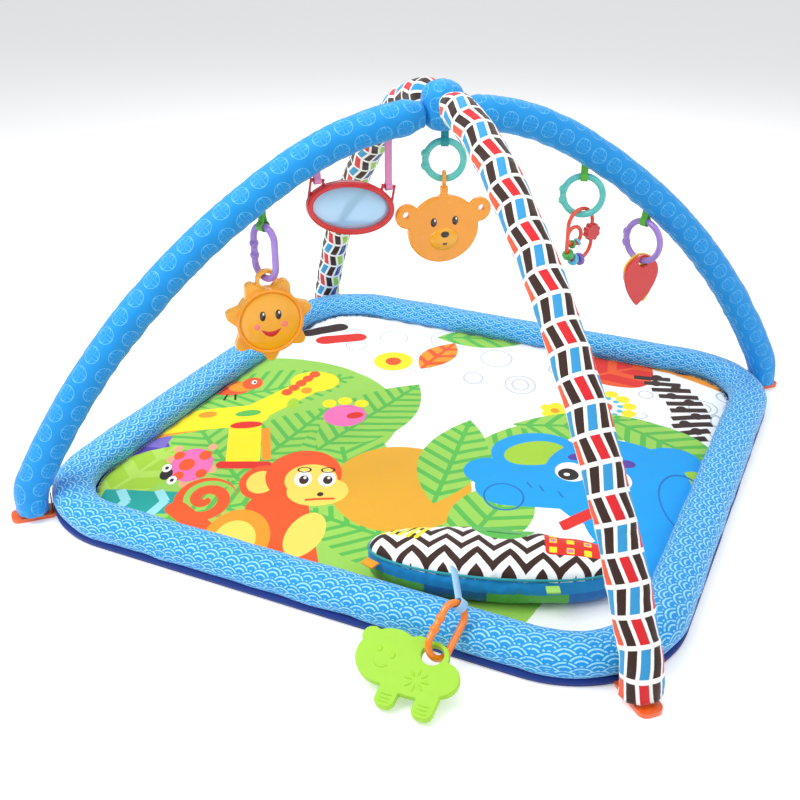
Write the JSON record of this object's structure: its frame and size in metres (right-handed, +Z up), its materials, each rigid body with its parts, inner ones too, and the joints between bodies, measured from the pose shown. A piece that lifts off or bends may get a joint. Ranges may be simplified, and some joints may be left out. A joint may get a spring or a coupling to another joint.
{
  "type": "activity play gym",
  "caption": "Padded square play mat with two crossed padded arches, hanging toys, a mirror, a small print pillow and a teether.",
  "frame": {"origin": "the middle of the mat's underside, on the floor", "axes": "+X along the front edge to the right, +Y from the front edge to the rear, +Z up"},
  "size_m": [0.7816, 0.8794, 0.479],
  "materials": {
    "navy_base": "plain woven base cloth",
    "wadding": "polyester wadding",
    "play_print": "printed polyester, quilted",
    "wave_cloth": "printed polyester with wave arcs",
    "orange_plastic": "moulded, glossy",
    "dark_webbing": "webbing",
    "rod_plastic": "moulded",
    "foam": "polyurethane foam tube",
    "azure_cloth": "printed polyester sleeve",
    "brick_cloth": "printed polyester sleeve, bricks",
    "green_webbing": "webbing",
    "teal_webbing": "webbing",
    "pink_webbing": "webbing",
    "orange_webbing": "webbing",
    "lime_webbing": "webbing",
    "sky_webbing": "webbing",
    "purple_plastic": "moulded, glossy",
    "teal_plastic": "moulded, glossy, slightly clear",
    "orange_red_plastic": "moulded, glossy",
    "sun_plastic": "moulded, glossy",
    "amber_plastic": "moulded, glossy",
    "yellow_plastic": "moulded, glossy",
    "red_plastic": "moulded, glossy",
    "mirror_sheet": "acrylic mirror",
    "bead_green_plastic": "moulded",
    "sky_plastic": "moulded",
    "screw_steel": "zinc-plated",
    "pillow_print": "printed polyester, stuffed",
    "green_silicone": "silicone, satin"
  },
  "bodies": {
    "mat": {"base_sheet": "navy_base", "mat_wadding": "wadding", "play_cover": "play_print", "rim_front": "wave_cloth", "rim_right": "wave_cloth", "rim_rear": "wave_cloth", "rim_left": "wave_cloth", "rim_wadding": "wadding", "corner_tabs": "orange_plastic", "corner_ties": "dark_webbing"},
    "blue_arch": {"blue_rods": "rod_plastic", "blue_ferrule": "rod_plastic", "blue_foam": "foam", "blue_sleeve_left": "azure_cloth", "blue_sleeve_right": "azure_cloth", "blue_feet": "rod_plastic", "apex_wrap": "azure_cloth", "strap_sun": "green_webbing", "strap_rattle": "green_webbing", "strap_leaf": "green_webbing", "strap_centre": "teal_webbing", "strap_mirror_left": "pink_webbing", "strap_mirror_right": "pink_webbing"},
    "brick_arch": {"brick_rods": "rod_plastic", "brick_ferrule": "rod_plastic", "brick_foam": "foam", "brick_sleeve_left": "brick_cloth", "brick_sleeve_right": "brick_cloth", "brick_feet": "rod_plastic"},
    "sun_link": {"link_sun": "purple_plastic"},
    "sun": {"sun_front_shell": "sun_plastic", "sun_back_shell": "sun_plastic", "sun_screws": "screw_steel", "sun_rattle_balls": "rod_plastic"},
    "mirror": {"mirror_frame": "red_plastic", "mirror_back": "red_plastic", "mirror_sheet": "mirror_sheet"},
    "rattle_link": {"link_rattle": "teal_plastic"},
    "rattle": {"rattle_wire": "orange_red_plastic"},
    "bead_green": {"bead_green": "bead_green_plastic"},
    "bead_sky": {"bead_sky": "sky_plastic"},
    "bead_purple": {"bead_purple": "purple_plastic"},
    "curl_ring_green": {"curl_ring_green": "bead_green_plastic"},
    "curl_ring_sky": {"curl_ring_sky": "sky_plastic"},
    "flower_bead": {"flower_bead": "red_plastic"},
    "leaf_link": {"link_leaf": "purple_plastic"},
    "leaf_red": {"leaf_red": "red_plastic"},
    "leaf_yellow": {"leaf_yellow": "yellow_plastic"},
    "centre_link": {"link_centre": "teal_plastic"},
    "cub": {"cub_rattle": "amber_plastic"},
    "pillow": {"pillow_cover": "pillow_print", "pillow_filling": "wadding", "pillow_tab_orange": "orange_webbing", "pillow_tab_lime": "lime_webbing", "pillow_loop": "sky_webbing"},
    "teether_link": {"link_teether": "orange_plastic"},
    "teether": {"teether": "green_silicone"}
  },
  "joints": [
    {"name": "arches_lift_off", "type": "slide", "parent": "mat", "child": "blue_arch", "axis": [0, 0, 1], "range_m": [0, 0.15]},
    {"name": "arches_scissor", "type": "hinge", "parent": "blue_arch", "child": "brick_arch", "pos_m": [0, 0, 0.455], "axis": [0, 0, 1], "range_deg": [-10, 38], "deforming": ["apex_wrap"]},
    {"name": "sun_link_swing", "type": "hinge", "parent": "blue_arch", "child": "sun_link", "pos_m": [-0.15486, -0.15486, 0.3278], "axis": [0.9613, -0.2756, 0], "range_deg": [-25, 25]},
    {"name": "sun_swing", "type": "hinge", "parent": "sun_link", "child": "sun", "pos_m": [-0.15486, -0.15486, 0.2642], "axis": [0.9613, -0.2756, 0], "range_deg": [-20, 20]},
    {"name": "rattle_link_swing", "type": "hinge", "parent": "blue_arch", "child": "rattle_link", "pos_m": [0.13718, 0.13718, 0.3478], "axis": [0.9659, 0.2588, 0], "range_deg": [-40, 40]},
    {"name": "rattle_swing", "type": "hinge", "parent": "rattle_link", "child": "rattle", "pos_m": [0.13718, 0.13718, 0.2982], "axis": [0.9659, 0.2588, 0], "range_deg": [-25, 25]},
    {"name": "leaf_link_swing", "type": "hinge", "parent": "blue_arch", "child": "leaf_link", "pos_m": [0.20506, 0.20506, 0.2788], "axis": [0.9205, -0.3907, 0], "range_deg": [-20, 20]},
    {"name": "leaf_red_swing", "type": "hinge", "parent": "leaf_link", "child": "leaf_red", "pos_m": [0.20506, 0.20506, 0.2252], "axis": [0.9205, -0.3907, 0], "range_deg": [-25, 5]},
    {"name": "leaf_yellow_swing", "type": "hinge", "parent": "leaf_link", "child": "leaf_yellow", "pos_m": [0.20506, 0.20506, 0.2252], "axis": [0.9205, -0.3907, 0], "range_deg": [-5, 25]},
    {"name": "centre_link_swing", "type": "hinge", "parent": "blue_arch", "child": "centre_link", "pos_m": [0.00283, 0.00283, 0.4076], "axis": [0.9063, 0.4226, 0], "range_deg": [-40, 40]},
    {"name": "cub_swing", "type": "hinge", "parent": "centre_link", "child": "cub", "pos_m": [0.00283, 0.00283, 0.3624], "axis": [0.9063, 0.4226, 0], "range_deg": [-40, 40]},
    {"name": "mirror_swing", "type": "hinge", "parent": "blue_arch", "child": "mirror", "pos_m": [-0.10923, -0.1064, 0.37422], "axis": [0.6964, 0.6964, -0.1738], "range_deg": [-40, 40]},
    {"name": "bead_green_spin", "type": "hinge", "parent": "rattle", "child": "bead_green", "pos_m": [0.12827, 0.12176, 0.24767], "axis": [0.265, 0.4589, -0.848], "continuous": true},
    {"name": "bead_sky_spin", "type": "hinge", "parent": "rattle", "child": "bead_sky", "pos_m": [0.13308, 0.13007, 0.23947], "axis": [0.4603, 0.7972, -0.3907], "continuous": true},
    {"name": "bead_purple_spin", "type": "hinge", "parent": "rattle", "child": "bead_purple", "pos_m": [0.13846, 0.1394, 0.23796], "axis": [0.4963, 0.8596, 0.1219], "continuous": true},
    {"name": "curl_ring_green_spin", "type": "hinge", "parent": "rattle", "child": "curl_ring_green", "pos_m": [0.13123, 0.12688, 0.26055], "axis": [0.4891, 0.8471, -0.2079], "continuous": true},
    {"name": "curl_ring_sky_spin", "type": "hinge", "parent": "rattle", "child": "curl_ring_sky", "pos_m": [0.13556, 0.13438, 0.26216], "axis": [0.4193, 0.7263, 0.5446], "continuous": true},
    {"name": "flower_bead_spin", "type": "hinge", "parent": "rattle", "child": "flower_bead", "pos_m": [0.14768, 0.15537, 0.2718], "axis": [0, 0, 1], "continuous": true},
    {"name": "pillow_lift_off", "type": "slide", "parent": "mat", "child": "pillow", "axis": [-0.4504, -0.3003, 0.8408], "range_m": [0, 0.15]},
    {"name": "teether_link_swing", "type": "hinge", "parent": "pillow", "child": "teether_link", "pos_m": [0.188, -0.378, 0.058], "axis": [0.555, 0.3812, -0.7394], "range_deg": [-35, 0]},
    {"name": "teether_swing", "type": "hinge", "parent": "teether_link", "child": "teether", "pos_m": [0.181, -0.426, 0.028], "axis": [0.555, 0.3812, -0.7394], "range_deg": [-12, 0]}
  ]
}
